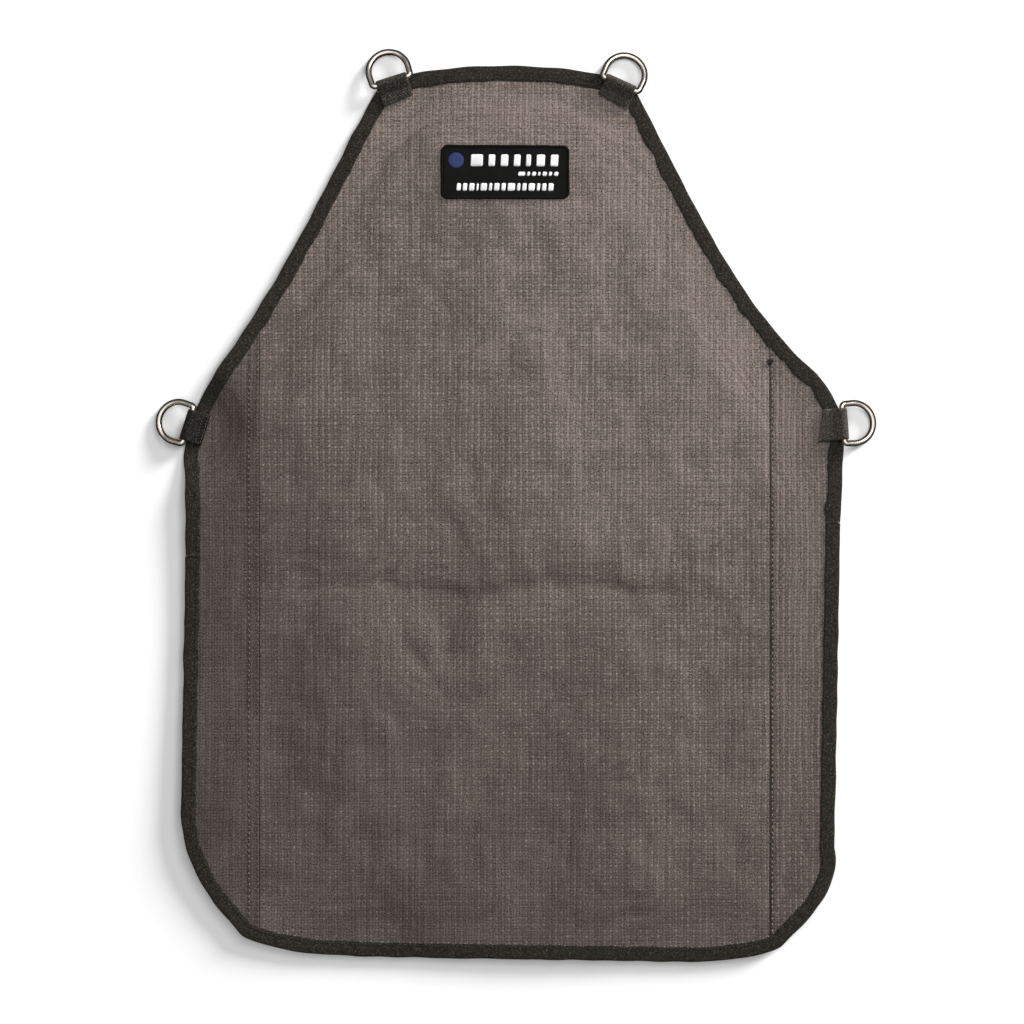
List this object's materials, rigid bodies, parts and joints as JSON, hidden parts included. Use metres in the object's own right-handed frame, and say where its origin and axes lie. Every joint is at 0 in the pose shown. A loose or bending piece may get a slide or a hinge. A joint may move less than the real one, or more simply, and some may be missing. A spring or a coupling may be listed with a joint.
{
  "type": "protective apron",
  "caption": "Bib apron of cut-resistant woven cloth with a taped edge, side gores, a chest label and D-rings at the neck and sides for clip-on straps.",
  "frame": {"origin": "centre of the base of the whole part's box, with the apron lying flat on its back on that plane", "axes": "+X to the right of someone looking down on the face, +Y towards the neck, +Z out of the face"},
  "size_m": [0.6114, 0.7754, 0.0119],
  "materials": {
    "face_cloth": "satin coated weave",
    "core_cloth": "matt woven",
    "lining_cloth": "matt woven",
    "binding_tape": "ribbed tape",
    "webbing": "woven webbing",
    "light_thread": "twisted thread",
    "dark_thread": "twisted thread",
    "ring_metal": "polished nickel plate",
    "label_cloth": "fine woven",
    "white_thread": "satin stitch",
    "blue_thread": "satin stitch"
  },
  "bodies": {
    "apron": {"face_centre_panel": "face_cloth", "face_left_gore": "face_cloth", "face_right_gore": "face_cloth", "core_centre_ply": "core_cloth", "core_left_ply": "core_cloth", "core_right_ply": "core_cloth", "back_lining": "lining_cloth", "binding_neck": "binding_tape", "binding_left_armhole": "binding_tape", "binding_right_armhole": "binding_tape", "binding_lower": "binding_tape", "binding_neck_stitch": "dark_thread", "binding_left_armhole_stitch": "dark_thread", "binding_right_armhole_stitch": "dark_thread", "binding_lower_stitch": "dark_thread", "left_seam_outer_thread": "light_thread", "left_seam_inner_thread": "light_thread", "right_seam_inner_thread": "light_thread", "right_seam_outer_thread": "light_thread", "seam_knot": "dark_thread", "top_left_tab": "webbing", "top_right_tab": "webbing", "left_tab": "webbing", "right_tab": "webbing", "top_left_tab_stitch": "dark_thread", "top_right_tab_stitch": "dark_thread", "left_tab_stitch": "dark_thread", "right_tab_stitch": "dark_thread", "label_patch": "label_cloth", "label_border": "label_cloth", "label_dot": "blue_thread", "label_upper_bar": "white_thread", "label_small_bar": "white_thread", "label_lower_bar": "white_thread"},
    "top_left_ring": {"top_left_ring": "ring_metal"},
    "top_right_ring": {"top_right_ring": "ring_metal"},
    "left_ring": {"left_ring": "ring_metal"},
    "right_ring": {"right_ring": "ring_metal"}
  },
  "joints": [
    {"name": "top_left_ring_swing", "type": "hinge", "parent": "apron", "child": "top_left_ring", "pos_m": [-0.10519, 0.35955, 0.00795], "axis": [0.9511, 0.309, 0], "range_deg": [-22, 183]},
    {"name": "top_right_ring_swing", "type": "hinge", "parent": "apron", "child": "top_right_ring", "pos_m": [0.08831, 0.35695, 0.00795], "axis": [0.9121, -0.4099, 0], "range_deg": [-18, 183]},
    {"name": "left_ring_swing", "type": "hinge", "parent": "apron", "child": "left_ring", "pos_m": [-0.27759, 0.06825, 0.00795], "axis": [0.304, 0.9527, 0], "range_deg": [-62, 188]},
    {"name": "right_ring_swing", "type": "hinge", "parent": "apron", "child": "right_ring", "pos_m": [0.27721, 0.06935, 0.00795], "axis": [0.075, -0.9972, 0], "range_deg": [-38, 182]}
  ]
}
